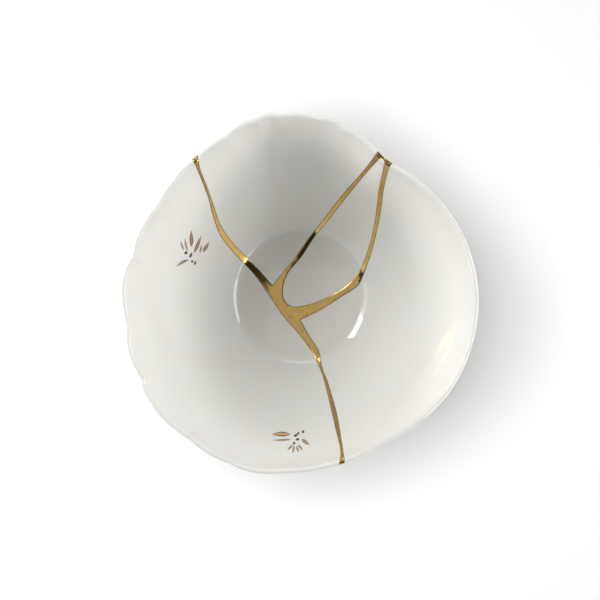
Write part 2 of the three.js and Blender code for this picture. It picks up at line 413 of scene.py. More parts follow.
def shard_loop(name):
    """A shard's whole outline: its broken edge, closed round the rim."""
    edge = broken_edge(name)
    if name == "leaf_shard":
        return edge
    return np.concatenate([edge, rim_arc(edge[-1], edge[0])])


SEAM_GAP = 0.03  # between the gold and each shard, too fine to see


def seam_loops():
    """The seam's outline round the three rim shards, and the hole in it that the leaf fills."""
    left, back, right = (
        broken_edge(name, SEAM_GAP)[::-1] for name in ("left_shard", "back_shard", "right_shard")
    )
    around = []
    for edge, following in ((right, back), (back, left), (left, right)):
        around.append(edge)
        around.append(rim_arc(edge[-1], following[0]))
    return [np.concatenate(around), broken_edge("leaf_shard", SEAM_GAP)[::-1]]


# ---------------------------------------------------------------- meshes

# Steps between the rings of points that fill a face.
MIDDLE_RUN = 0.9  # where the first ring lies
FLOOR_STEP = 1.8
FILLET_STEP = 0.4
BASE_STEP = 2.5
FOOT_STEP = 0.3
WALL_STEP = 1.25
LIP_STEP = 0.26
# Degrees between points on a ring, from each run outwards.
RING_STEPS = [[0, 12], [6, 3], [20, 1], [42, RIM_STEP]]

# How far from the seam's edge each row of its points lies: close by the edge, even over the middle.
ROW_DISTANCES = [0.08, 0.18, 0.32, 0.5, 0.75, *np.arange(1.1, 4.6, 0.42)]
ROW_SLACK = 0.96  # a row's point that has another edge nearer than this share of its distance is left out

SHARD_CLEARANCE = 0.45  # between an outline and the nearest point that fills it
SEAM_CLEARANCE = 0.06
SHARP_EDGE = math.radians(38)  # a fold over this stays a crisp edge


def near(points, distance):
    """A test for flat places that lie nearer than a distance to any of the points."""
    tree = KDTree(len(points))
    for i, (x, y) in enumerate(points):
        tree.insert((x, y, 0), i)
    tree.balance()
    return lambda places: np.array([tree.find((x, y, 0))[2] < distance for x, y in places])


def within(places, loops):
    """Whether flat places lie inside the first loop and outside the others, by edges to one side."""
    found = np.zeros(len(places), bool)
    x, y = places.T
    for loop in loops:
        for (x0, y0), (x1, y1) in zip(loop, np.roll(loop, -1, axis=0)):
            if y0 != y1:
                spans = (y < y0) != (y < y1)
                found ^= spans & (x < x0 + (y - y0) * ((x1 - x0) / (y1 - y0)))
    return found


def triangles(loops, fill):
    """Triangles over the flat region that the loops bound, on the loops' and the fill's points."""
    points = np.concatenate([*loops, fill])
    edges = []
    start = 0
    for loop in loops:
        edges += [(start + i, start + (i + 1) % len(loop)) for i in range(len(loop))]
        start += len(loop)
    _, _, faces, origins, _, _ = delaunay_2d_cdt([Vector(p) for p in points], edges, [], 0, 1e-7, True)
    faces = np.array([o[0] for o in origins])[np.array(faces)]
    outside = (faces < start).all(1)
    outside[outside] = ~within(points[faces[outside]].mean(1), loops)
    faces = faces[~outside]
    first, second, third = (points[faces[:, corner]] for corner in range(3))
    clockwise = np.cross(second - first, third - first) < 0
    faces[clockwise] = faces[clockwise][:, ::-1]
    return faces


def ring_places(face):
    """Runs and angles of even rings over one face, closer where the section bends."""
    if face == "inside":
        stretches = [
            (MIDDLE_RUN, floor_run, FLOOR_STEP),
            (floor_run, fillet_run, FILLET_STEP),
            (fillet_run, wall_run, WALL_STEP),
        ]
        last_run, end = wall_run, inside_end
    else:
        flat_base = FOOT[0][0] - FOOT[0][2]
        stretches = [
            (MIDDLE_RUN, flat_base, BASE_STEP),
            (flat_base, foot_run, FOOT_STEP),
            (foot_run, outer_wall_run, WALL_STEP),
        ]
        last_run, end = outer_wall_run, outside_end
    runs = [np.linspace(a, b, math.ceil((b - a) / step), endpoint=False) for a, b, step in stretches]
    lip = np.linspace(last_run, end, max(3, math.ceil((end - last_run) / LIP_STEP)))[:-1]
    runs, angles = np.concatenate([*runs, lip]), []
    for run in runs:
        step = [degrees for start, degrees in RING_STEPS if run > start][-1]
        angles.append(np.arange(0, 360, step, dtype=float))
    return np.concatenate([np.full(len(a), r) for r, a in zip(runs, angles)]), np.concatenate(angles)


def row_places(face, loops):
    """Runs and angles of rows that follow the outline inwards, close together along the edge."""
    section, longest = FACES[face]
    runs, angles = [], []
    edge = np.concatenate([turned(section(run, angle), angle) for run, angle in places_of(face, loops)])
    tree = KDTree(len(edge))
    for i, point in enumerate(edge):
        tree.insert(point, i)
    tree.balance()
    for run, angle in places_of(face, loops):
        radius = section(run, angle)[:, 0]
        forward = np.roll(run, -1) - np.roll(run, 1)
        turning = (np.roll(angle, -1) - np.roll(angle, 1) + 180) % 360 - 180
        sideways = np.radians(turning) * radius
        length = np.hypot(forward, sideways)
        for distance in ROW_DISTANCES:
            run_there = run - distance * sideways / length
            angle_there = angle + np.degrees(distance * forward / length / radius)
            ok = (run_there > 0) & (run_there < longest)
            run_there, angle_there = run_there[ok], angle_there[ok]
            spots = turned(section(run_there, angle_there), angle_there)
            clear = np.array([tree.find(p)[2] > ROW_SLACK * distance for p in spots])
            runs.append(run_there[clear])
            angles.append(angle_there[clear])
    return np.concatenate(runs), np.concatenate(angles)


def places_of(face, loops):
    """Each outline's points as runs and angles on a face."""
    section, longest = FACES[face]
    found = []
    for loop in loops:
        radius, angle = polar(loop)
        found.append((run_at(section, longest, radius, angle), angle))
    return found


def sheet(face, loops, fill, clearance):
    """One face of a piece: its points in space and its triangles. The outline's points come first."""
    section, _ = FACES[face]
    borders = places_of(face, loops)
    border_flat = [unrolled(*border) for border in borders]
    fill_run, fill_angle = fill(face)
    fill_flat = unrolled(fill_run, fill_angle)
    every = np.concatenate(border_flat)
    kept = ((fill_flat > every.min(0)) & (fill_flat < every.max(0))).all(1)
    kept[kept] = within(fill_flat[kept], border_flat)
    kept[kept] = ~near(every, clearance)(fill_flat[kept])
    fill_run, fill_angle, fill_flat = fill_run[kept], fill_angle[kept], fill_flat[kept]
    faces = triangles(border_flat, fill_flat)
    run = np.concatenate([b[0] for b in borders] + [fill_run])
    angle = np.concatenate([b[1] for b in borders] + [fill_angle])
    return turned(section(run, angle), angle), faces


def closed_piece(name, loops, fill, clearance):
    """A solid between the inside and outside faces, with walls round its outline."""
    upper, upper_faces = sheet("inside", loops, fill, clearance)
    lower, lower_faces = sheet("outside", loops, fill, clearance)
    border = sum(len(loop) for loop in loops)
    radius, angle = polar(np.concatenate(loops))
    on_rim = radius > widest(angle) - ON_RIM
    below = np.arange(len(lower)) + len(upper)
    below[:border][on_rim] = np.flatnonzero(on_rim)
    faces = [tuple(f) for f in upper_faces] + [tuple(below[f[::-1]]) for f in lower_faces]
    start = 0
    for loop in loops:
        for i in range(len(loop)):
            a, b = start + i, start + (i + 1) % len(loop)
            wall = [below[a], below[b], b, a]
            corners = [c for k, c in enumerate(wall) if c not in wall[:k]]
            if len(corners) > 2:
                faces.append(tuple(corners))
        start += len(loop)
    return mesh_object(name, np.concatenate([upper, lower]), faces)


def mesh_object(name, points, faces):
    """A mesh from points in millimetres, without the points that no face uses."""
    used = np.unique(np.concatenate([np.array(f) for f in faces]))
    place = np.full(len(points), -1)
    place[used] = np.arange(len(used))
    mesh = bpy.data.meshes.new(name)
    mesh.from_pydata((points[used] * MM).tolist(), [], [[int(place[c]) for c in f] for f in faces])
    mesh.validate()
    mesh.shade_smooth()
    mesh.set_sharp_from_angle(angle=SHARP_EDGE)
    obj = bpy.data.objects.new(name, mesh)
    bpy.context.scene.collection.objects.link(obj)
    return obj


# ---------------------------------------------------------------- node helpers

def add_node(tree, kind, inputs=(), **settings):
    """Adds a node with its settings, and sets or links its inputs."""
    node = tree.nodes.new(kind)
    for name, value in settings.items():
        setattr(node, name, value)
    for key, value in dict(inputs).items():
        if isinstance(value, bpy.types.NodeSocket):
            tree.links.new(value, node.inputs[key])
        else:
            node.inputs[key].default_value = value
    return node


def linear(hex_colour):
    """An sRGB hex colour as linear RGBA."""
    channels = [int(hex_colour[i:i + 2], 16) / 255 for i in (1, 3, 5)]
    return [c / 12.92 if c <= 0.04045 else ((c + 0.055) / 1.055) ** 2.4 for c in channels] + [1.0]


def new_material(name):
    material = bpy.data.materials.new(name)
    material.use_nodes = True
    material.node_tree.nodes.clear()
    return material, material.node_tree


def finish_material(tree, shader):
    add_node(tree, "ShaderNodeOutputMaterial", {"Surface": shader.outputs[0]})


# ---------------------------------------------------------------- materials

GLAZE_WHITE = "#E8E7E3"
GLAZE_CLOUD = "#E5E4DF"
GLAZE_CLOUD_SIZE = 26
GLAZE_FLOOR_SHADE = "#E4E2DA"  # painted shade: a deeper tone painted on the bowl's floor up to this level
FLOOR_SHADE_LEVEL = 12.1
FLOOR_SHADE_EDGE = 0.5
GLAZE_SWELL_SIZE = 9  # the glaze's slow unevenness, across and in height
GLAZE_SWELL = 0.03
GOLD_PALE = "#F2CF80"
GOLD_DEEP = "#E4B868"
GOLD_CLOUD_SIZE = 4
GOLD_WEAR_AND_DARK_REFLECTION = "#8F5F30"  # where the gold is rubbed thin and the lacquer shows through, also a painted dark reflection in its mottles
WEAR_AND_REFLECTION_SIZE = 1.6
LACQUER_AND_GROOVE_SHADE = "#3B2A1A"
LACQUER_AND_SHADE_LINE = 0.22  # how wide the bare lacquer and the painted shade of the groove show at the gold's edges
BRUSH_STREAK_SIZE = 0.6
ENAMEL_THIN = "#D9B88C"
ENAMEL_THICK = "#5C4030"
ENAMEL_EDGE = "#8C6A50"
ENAMEL_DARK = "#38262A"


def glazed_porcelain():
    """Slip-cast porcelain, fired under a clear glaze.

    The eye sees a warm white with sharp small highlights, and a slightly deeper tone painted on the floor
    as shade.
    """
    material, tree = new_material("glazed_porcelain")
    place = add_node(tree, "ShaderNodeTexCoord").outputs["Object"]
    cloud = add_node(
        tree, "ShaderNodeTexNoise", {"Vector": place, "Scale": 1 / (GLAZE_CLOUD_SIZE * MM), "Detail": 2.0}
    )
    tone = add_node(
        tree, "ShaderNodeMix",
        {"Factor": cloud.outputs["Fac"], "A": linear(GLAZE_WHITE), "B": linear(GLAZE_CLOUD)},
        data_type="RGBA",
    )
    level = add_node(tree, "ShaderNodeSeparateXYZ", {0: place}).outputs["Z"]
    # Painted shade: the bowl's floor takes a deeper tone up to a set level.
    floor_shade = add_node(
        tree, "ShaderNodeMapRange",
        {
            "Value": level, "From Min": FLOOR_SHADE_LEVEL * MM, "From Max": (FLOOR_SHADE_LEVEL + FLOOR_SHADE_EDGE) * MM,
            "To Min": 1.0, "To Max": 0.0,
        },
        interpolation_type="SMOOTHSTEP",
    )
    glaze = add_node(
        tree, "ShaderNodeMix",
        {"Factor": floor_shade.outputs["Result"], "A": tone.outputs["Result"], "B": linear(GLAZE_FLOOR_SHADE)},
        data_type="RGBA",
    )
    swell = add_node(
        tree, "ShaderNodeTexNoise", {"Vector": place, "Scale": 1 / (GLAZE_SWELL_SIZE * MM), "Detail": 1.0}
    )
    bump = add_node(
        tree, "ShaderNodeBump",
        {"Height": swell.outputs["Fac"], "Distance": GLAZE_SWELL * MM, "Strength": 1.0},
    )
    shader = add_node(
        tree, "ShaderNodeBsdfPrincipled",
        {
            "Base Color": glaze.outputs["Result"], "Roughness": 0.05, "IOR": 1.6,
            "Normal": bump.outputs["Normal"],
        },
    )
    finish_material(tree, shader)
    return material


def gold_finish():
    """Gold powder burnished on brown lacquer.

    The eye sees a mirror-like metal with faint clouds, brown specks that are partly rubbed wear and partly
    painted dark reflection, and a lacquer line at its edges that is also painted groove shade.
    """
    material, tree = new_material("burnished_gold")
    place = add_node(tree, "ShaderNodeTexCoord").outputs["Object"]
    cloud = add_node(
        tree, "ShaderNodeTexNoise", {"Vector": place, "Scale": 1 / (GOLD_CLOUD_SIZE * MM), "Detail": 3.0}
    )
    tone = add_node(
        tree, "ShaderNodeMix",
        {"Factor": cloud.outputs["Fac"], "A": linear(GOLD_PALE), "B": linear(GOLD_DEEP)},
        data_type="RGBA",
    )
    # Brown specks over the gold: partly rubbed wear, partly painted dark reflection.
    wear_and_reflection_noise = add_node(
        tree, "ShaderNodeTexNoise", {"Vector": place, "Scale": 1 / (WEAR_AND_REFLECTION_SIZE * MM), "Detail": 2.0}
    )
    patches = add_node(
        tree, "ShaderNodeMapRange",
        {"Value": wear_and_reflection_noise.outputs["Fac"], "From Min": 0.55, "From Max": 0.75, "To Min": 0.0, "To Max": 0.4},
        interpolation_type="SMOOTHSTEP",
    )
    gold_with_wear_and_reflection = add_node(
        tree, "ShaderNodeMix",
        {"Factor": patches.outputs["Result"], "A": tone.outputs["Result"], "B": linear(GOLD_WEAR_AND_DARK_REFLECTION)},
        data_type="RGBA",
    )
    # Brown line along the gold's edges: bare lacquer, and painted shade in the groove beside the glaze.
    from_edge = add_node(tree, "ShaderNodeAttribute", attribute_name="from_edge")
    line = add_node(
        tree, "ShaderNodeMapRange",
        {
            "Value": from_edge.outputs["Fac"], "From Min": LACQUER_AND_SHADE_LINE * 0.5 * MM,
            "From Max": LACQUER_AND_SHADE_LINE * 1.2 * MM, "To Min": 0.0, "To Max": 1.0,
        },
        interpolation_type="SMOOTHSTEP",
    )
    colour = add_node(
        tree, "ShaderNodeMix",
        {"Factor": line.outputs["Result"], "A": linear(LACQUER_AND_GROOVE_SHADE), "B": gold_with_wear_and_reflection.outputs["Result"]},
        data_type="RGBA",
    )
    shader = add_node(
        tree, "ShaderNodeBsdfPrincipled",
        {"Base Color": colour.outputs["Result"], "Metallic": line.outputs["Result"], "Roughness": 0.13},
    )
    finish_material(tree, shader)
    return material


def sprig_enamel():
    """Thin ochre and sepia enamel, brushed and fired on the glaze.

    The eye sees streaky strokes, each darker at its edge than in its middle.
    """
    material, tree = new_material("painted_enamel")
    place = add_node(tree, "ShaderNodeTexCoord").outputs["Object"]
    tone = add_node(tree, "ShaderNodeAttribute", attribute_name="tone").outputs["Fac"]
    from_middle = add_node(tree, "ShaderNodeAttribute", attribute_name="across").outputs["Fac"]
    streak = add_node(
        tree, "ShaderNodeTexNoise", {"Vector": place, "Scale": 1 / (BRUSH_STREAK_SIZE * MM), "Detail": 2.0}
    )
    middle = add_node(
        tree, "ShaderNodeMix", {"Factor": tone, "A": linear(ENAMEL_THIN), "B": linear(ENAMEL_THICK)},
        data_type="RGBA",
    )
    border = add_node(
        tree, "ShaderNodeMix", {"Factor": tone, "A": linear(ENAMEL_EDGE), "B": linear(ENAMEL_DARK)},
        data_type="RGBA",
    )
    shifted = add_node(tree, "ShaderNodeMath", {0: from_middle, 1: streak.outputs["Fac"]}, operation="ADD")
    gathered = add_node(
        tree, "ShaderNodeMapRange",
        {"Value": shifted.outputs[0], "From Min": 0.7, "From Max": 1.2, "To Min": 0.0, "To Max": 1.0},
        interpolation_type="SMOOTHSTEP",
    )
    colour = add_node(
        tree, "ShaderNodeMix",
        {
            "Factor": gathered.outputs["Result"],
            "A": middle.outputs["Result"], "B": border.outputs["Result"],
        },
        data_type="RGBA",
    )
    shader = add_node(
        tree, "ShaderNodeBsdfPrincipled", {"Base Color": colour.outputs["Result"], "Roughness": 0.25},
    )
    finish_material(tree, shader)
    return material


# ---------------------------------------------------------------- the seam's relief

def node_group(name, sockets):
    """An empty Geometry Nodes tree with a mesh in and out and its own named inputs."""
    tree = bpy.data.node_groups.new(name, "GeometryNodeTree")
    tree.interface.new_socket("Geometry", in_out="INPUT", socket_type="NodeSocketGeometry")
    tree.interface.new_socket("Geometry", in_out="OUTPUT", socket_type="NodeSocketGeometry")
    for label, kind in sockets.items():
        tree.interface.new_socket(label, in_out="INPUT", socket_type=kind)
    return tree


def grown(obj, tree, values):
    """The plain mesh that a Geometry Nodes tree makes from an object, in the same object."""
    modifier = obj.modifiers.new(tree.name, "NODES")
    modifier.node_group = tree
    for item in tree.interface.items_tree:
        if item.item_type == "SOCKET" and item.in_out == "INPUT" and item.name in values:
            modifier[item.identifier] = values[item.name]
    evaluated = obj.evaluated_get(bpy.context.evaluated_depsgraph_get())
    mesh = bpy.data.meshes.new_from_object(evaluated)
    obj.modifiers.clear()
    obj.data = mesh
    return obj


def finish_tree(tree, geometry, material):
    """Ends a tree with real geometry in its material."""
    real = add_node(tree, "GeometryNodeRealizeInstances", {"Geometry": geometry})
    painted = add_node(
        tree, "GeometryNodeSetMaterial", {"Geometry": real.outputs[0], "Material": material}
    )
    add_node(tree, "NodeGroupOutput", {"Geometry": painted.outputs[0]})


def lacquer_relief():
    """Raises the lacquer out of its crack, with a rounded shoulder along each broken edge.

    Near the table it sinks instead, so the bowl stands on porcelain. from_edge is kept for the finish.
    """
    tree = node_group("lacquer_relief", {
        "Broken Edges": "NodeSocketObject",
        "Height": "NodeSocketFloat",
        "Shoulder": "NodeSocketFloat",
        "Ripple Height": "NodeSocketFloat",
        "Ripple Size": "NodeSocketFloat",
        "Clear of Table": "NodeSocketFloat",
        "Foot Recess": "NodeSocketFloat",
        "Gold": "NodeSocketMaterial",
    })
    given = add_node(tree, "NodeGroupInput").outputs
    edges = add_node(tree, "GeometryNodeObjectInfo", {"Object": given["Broken Edges"]})
    nearest = add_node(
        tree, "GeometryNodeProximity", {"Geometry": edges.outputs["Geometry"]}, target_element="EDGES"
    ).outputs["Distance"]
    share = add_node(
        tree, "ShaderNodeMath", {0: nearest, 1: given["Shoulder"]}, operation="DIVIDE", use_clamp=True
    )
    short = add_node(tree, "ShaderNodeMath", {0: 1.0, 1: share.outputs[0]}, operation="SUBTRACT")
    square = add_node(tree, "ShaderNodeMath", {0: short.outputs[0], 1: 2.0}, operation="POWER")
    fall = add_node(tree, "ShaderNodeMath", {0: 1.0, 1: square.outputs[0]}, operation="SUBTRACT")
    dome = add_node(tree, "ShaderNodeMath", {0: fall.outputs[0]}, operation="SQRT")
    place = add_node(tree, "GeometryNodeInputPosition").outputs[0]
    scale = add_node(tree, "ShaderNodeMath", {0: 1.0, 1: given["Ripple Size"]}, operation="DIVIDE")
    noise = add_node(
        tree, "ShaderNodeTexNoise", {"Vector": place, "Scale": scale.outputs[0], "Detail": 1.0}
    )
    swing = add_node(tree, "ShaderNodeMath", {0: noise.outputs["Fac"], 1: 0.5}, operation="SUBTRACT")
    height = add_node(
        tree, "ShaderNodeMath", {0: swing.outputs[0], 1: given["Ripple Height"], 2: given["Height"]},
        operation="MULTIPLY_ADD",
    )
    rise = add_node(
        tree, "ShaderNodeMath", {0: height.outputs[0], 1: dome.outputs[0]}, operation="MULTIPLY"
    )
    level = add_node(tree, "ShaderNodeSeparateXYZ", {0: place}).outputs["Z"]
    clear = add_node(
        tree, "ShaderNodeMapRange",
        {
            "Value": level, "From Min": 0.0, "From Max": given["Clear of Table"],
            "To Min": 0.0, "To Max": 1.0,
        },
        interpolation_type="SMOOTHSTEP",
    ).outputs["Result"]
    sunk = add_node(tree, "ShaderNodeMath", {0: given["Foot Recess"], 1: -1.0}, operation="MULTIPLY")
    offset = add_node(
        tree, "ShaderNodeMix", {"Factor": clear, "A": sunk.outputs[0], "B": rise.outputs[0]},
        data_type="FLOAT",
    )
    normal = add_node(tree, "GeometryNodeInputNormal")
    along = add_node(
        tree, "ShaderNodeVectorMath", {0: normal.outputs["Normal"], "Scale": offset.outputs["Result"]},
        operation="SCALE",
    )
    measured = add_node(
        tree, "GeometryNodeStoreNamedAttribute",
        {"Geometry": given["Geometry"], "Name": "from_edge", "Value": nearest},
        data_type="FLOAT", domain="POINT",
    )
    raised = add_node(
        tree, "GeometryNodeSetPosition", {"Geometry": measured.outputs[0], "Offset": along.outputs[0]}
    )
    finish_tree(tree, raised.outputs[0], given["Gold"])
    return tree


def broken_edge_lines(loops):
    """The seam's outlines on both faces, as a mesh of edges, without the stretches along the rim."""
    points, edges = [], []
    for face, (section, _) in FACES.items():
        for loop, (run, angle) in zip(loops, places_of(face, loops)):
            on_rim = np.hypot(*loop.T) > widest(angle) - ON_RIM
            start = len(points)
            points += list(turned(section(run, angle), angle) * MM)
            for i in range(len(loop)):
                following = (i + 1) % len(loop)
                if not (on_rim[i] and on_rim[following]):
                    edges.append((start + i, start + following))
    mesh = bpy.data.meshes.new("broken_edges")
    mesh.from_pydata(points, edges, [])
    guide = bpy.data.objects.new("broken_edges", mesh)
    bpy.context.scene.collection.objects.link(guide)
    return guide


# ---------------------------------------------------------------- the painted sprigs

# Each sprig's middle in plan, and its strokes round it:
# [x, y, direction in degrees, length, width, bend, tone]. A stroke starts at its x and y.
# Tone runs from 0 for thin ochre to 1 for thick sepia.
SPRIGS = {
    "painted_sprig_left": ([-47.4, 20.6], [
        [-3.9, -0.6, 112, 4.4, 0.75, -0.5, 0.35],
        [-2.4, -0.9, 104, 5.6, 0.8, -0.4, 0.2],
        [-0.9, 1.2, 84, 7.1, 1.5, 0.5, 0.5],
        [0.1, -1.4, 62, 8.4, 1.25, 0.7, 0.45],
        [4.1, -0.9, 66, 5.2, 1.4, -0.5, 0.4],
        [2.6, -1.2, 70, 3.9, 0.8, 0.4, 0.3],
        [-3.5, -2.2, 60, 1.7, 1.2, 0, 0.95],
        [-1.7, -3.6, 64, 2.7, 0.95, 0.1, 1],
        [-1.2, -5.3, 20, 1.3, 1, 0, 0.9],
        [0, -6.7, 58, 2.4, 0.8, 0.2, 0.8],
        [-2.1, -4.5, 196, 5.8, 1.1, 1.9, 0.55],
        [-6.9, -7.6, 44, 3.4, 0.7, 0.3, 0.3],
    ]),
    "painted_sprig_front": ([-4.2, -63.4], [
        [-0.3, 3, 178, 8.2, 1.9, 0.3, 0.12],
        [0.2, 0.9, 184, 8.4, 0.75, -0.3, 0.22],
        [2.9, 2.7, 196, 1.9, 0.95, 0, 1],
        [3.7, 3.7, 215, 1.5, 0.9, 0, 0.95],
        [5.9, 4.2, 200, 1.3, 1.1, 0, 1],
        [3.7, 1.1, 190, 1.7, 1.05, 0, 0.95],
        [2, -0.2, 215, 1.5, 1, 0, 0.9],
        [4.6, 0.9, 334, 4.2, 1.35, -0.4, 0.25],
        [1, -1.3, 212, 3.2, 0.8, 0.5, 0.45],
        [1.5, -1.6, 256, 3, 0.85, 0, 0.4],
        [2.5, -1.6, 290, 2.8, 0.85, 0, 0.35],
        [3, -1.1, 322, 3.3, 0.75, -0.5, 0.4],
    ]),
}
STROKE_STATIONS = 9
STROKE_LEAN = 0.8  # under 1 puts the widest place before the middle
PAINT_SECTION = [[-1, 0], [-0.55, 0.7], [0, 1], [0.55, 0.7], [1, 0], [0, -0.6]]


def brush_stroke():
    """One closed stroke, a unit long and wide: fuller before the middle, drawn out to a fine end."""
    stations = (np.arange(STROKE_STATIONS) + 1) / (STROKE_STATIONS + 1)
    points, along, across_stroke = [[0, 0, 0]], [0], [1]
    for s in stations:
        half = 0.5 * math.sin(math.pi * s**STROKE_LEAN)
        for side, height in PAINT_SECTION:
            points.append([s, side * half, height * math.sin(math.pi * s)])
            along.append(s)
            across_stroke.append(abs(side))
    points.append([1, 0, 0])
    along.append(1)
    across_stroke.append(1)
    ring = len(PAINT_SECTION)
    last = len(points) - 1
    faces = []
    for k in range(ring):
        following = (k + 1) % ring
        faces.append((0, 1 + k, 1 + following))
        faces.append((last, last - ring + following, last - ring + k))
        for station in range(STROKE_STATIONS - 1):
            a = 1 + station * ring
            faces.append((a + k, a + ring + k, a + ring + following, a + following))
    mesh = bpy.data.meshes.new("brush_stroke")
    mesh.from_pydata(points, [], faces)
    mesh.shade_smooth()
    for name, values in (("along", along), ("across", across_stroke)):
        mesh.attributes.new(name, "FLOAT", "POINT").data.foreach_set("value", values)
    stroke = bpy.data.objects.new("brush_stroke", mesh)
    bpy.context.scene.collection.objects.link(stroke)
    return stroke


def stroke_starts(name):
    """A sprig's strokes as loose points, with each stroke's shape kept on its point."""
    middle, strokes = SPRIGS[name]
    rows = np.array(strokes, float)
    places = np.column_stack([rows[:, :2] + middle, np.zeros(len(rows))]) * MM
    mesh = bpy.data.meshes.new(name)
    mesh.from_pydata(places.tolist(), [], [])
    shapes = {
        "direction": np.radians(rows[:, 2]), "length": rows[:, 3] * MM, "width": rows[:, 4] * MM,
        "bend": rows[:, 5] * MM, "tone": rows[:, 6],
    }
    for label, values in shapes.items():
        mesh.attributes.new(label, "FLOAT", "POINT").data.foreach_set("value", values)
    sprig = bpy.data.objects.new(name, mesh)
    bpy.context.scene.collection.objects.link(sprig)
    return sprig


def brush_painting():
    """Lays a stroke at every point, bends it, and lowers it on to the glaze."""
    tree = node_group("brush_painting", {
        "Stroke": "NodeSocketObject",
        "Glaze": "NodeSocketObject",
        "Thickness": "NodeSocketFloat",
        "Drop": "NodeSocketFloat",
        "Enamel": "NodeSocketMaterial",
    })
    given = add_node(tree, "NodeGroupInput").outputs
    named = {}
    for label in ("direction", "length", "width", "bend", "along"):
        kept = add_node(tree, "GeometryNodeInputNamedAttribute", {"Name": label}, data_type="FLOAT")
        named[label] = kept.outputs[0]
    stroke = add_node(tree, "GeometryNodeObjectInfo", {"Object": given["Stroke"]})
    turn = add_node(tree, "ShaderNodeCombineXYZ", {"Z": named["direction"]})
    size = add_node(
        tree, "ShaderNodeCombineXYZ",
        {"X": named["length"], "Y": named["width"], "Z": given["Thickness"]},
    )
    laid = add_node(
        tree, "GeometryNodeInstanceOnPoints",
        {
            "Points": given["Geometry"], "Instance": stroke.outputs["Geometry"],
            "Rotation": turn.outputs[0], "Scale": size.outputs[0],
        },
    )
    real = add_node(tree, "GeometryNodeRealizeInstances", {"Geometry": laid.outputs[0]})
    bow = add_node(tree, "ShaderNodeMath", {0: named["along"], 1: 2.0}, operation="POWER")
    aside = add_node(tree, "ShaderNodeMath", {0: bow.outputs[0], 1: named["bend"]}, operation="MULTIPLY")
    sideways = add_node(tree, "ShaderNodeCombineXYZ", {"Y": aside.outputs[0]})
    swung = add_node(
        tree, "ShaderNodeVectorRotate", {"Vector": sideways.outputs[0], "Angle": named["direction"]},
        rotation_type="Z_AXIS",
    )
    bent = add_node(
        tree, "GeometryNodeSetPosition", {"Geometry": real.outputs[0], "Offset": swung.outputs[0]}
    )
    position = add_node(tree, "GeometryNodeInputPosition").outputs[0]
    place = add_node(tree, "ShaderNodeSeparateXYZ", {0: position})
    above = add_node(
        tree, "ShaderNodeCombineXYZ",
        {"X": place.outputs["X"], "Y": place.outputs["Y"], "Z": given["Drop"]},
    )
    glaze = add_node(tree, "GeometryNodeObjectInfo", {"Object": given["Glaze"]})
    landed = add_node(
        tree, "GeometryNodeRaycast",
        {
            "Target Geometry": glaze.outputs["Geometry"], "Source Position": above.outputs[0],
            "Ray Direction": (0, 0, -1), "Ray Length": 1.0,
        },
    )
    lift = add_node(
        tree, "ShaderNodeVectorMath", {0: landed.outputs["Hit Normal"], "Scale": place.outputs["Z"]},
        operation="SCALE",
    )
    lifted = add_node(
        tree, "ShaderNodeVectorMath", {0: landed.outputs["Hit Position"], 1: lift.outputs[0]},
        operation="ADD",
    )
    lying = add_node(
        tree, "GeometryNodeSetPosition", {"Geometry": bent.outputs[0], "Position": lifted.outputs[0]}
    )
    finish_tree(tree, lying.outputs[0], given["Enamel"])
    return tree


# ---------------------------------------------------------------- the bowl

porcelain = glazed_porcelain()
gold = gold_finish()
enamel = sprig_enamel()

for shard in BROKEN_EDGES:
    piece = closed_piece(f"glazed_{shard}", [shard_loop(shard)], ring_places, SHARD_CLEARANCE)
    piece.data.materials.append(porcelain)
    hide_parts(shard)
    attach(piece, "root")

loops = seam_loops()
seam = closed_piece("raised_gold_seam", loops, lambda face: row_places(face, loops), SEAM_CLEARANCE)
guide = broken_edge_lines(loops)
grown(seam, lacquer_relief(), {
    "Broken Edges": guide, "Height": 0.2 * MM, "Shoulder": 0.5 * MM,
    "Ripple Height": 0.12 * MM, "Ripple Size": 5 * MM,
    "Clear of Table": 0.8 * MM, "Foot Recess": 0.15 * MM, "Gold": gold,
})
bpy.data.objects.remove(guide)
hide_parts("gold_seam")
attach(seam, "root")

painting = brush_painting()
stroke = brush_stroke()
for name in SPRIGS:
    sprig = grown(stroke_starts(name), painting, {
        "Stroke": stroke, "Glaze": bpy.data.objects["glazed_left_shard"],
        "Thickness": 0.07 * MM, "Drop": 120 * MM, "Enamel": enamel,
    })
    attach(sprig, "root")
bpy.data.objects.remove(stroke)


# ---------------------------------------------------------------- floor, light and camera

SWEEP_HALF = 12.0  # metres, so that its edge lies far behind the bowl


def floor():
    corners = [(-SWEEP_HALF, -SWEEP_HALF, 0), (SWEEP_HALF, -SWEEP_HALF, 0)]
    corners += [(SWEEP_HALF, SWEEP_HALF, 0), (-SWEEP_HALF, SWEEP_HALF, 0)]
    mesh = bpy.data.meshes.new("floor")
    mesh.from_pydata(corners, [], [(0, 1, 2, 3)])
    obj = bpy.data.objects.new("floor", mesh)
    bpy.context.scene.collection.objects.link(obj)
    material, tree = new_material("matt_white_sweep")
    shader = add_node(
        tree, "ShaderNodeBsdfPrincipled",
        {"Base Color": linear("#FAFAFA"), "Roughness": 0.8},
    )
    finish_material(tree, shader)
    mesh.materials.append(material)
    return obj


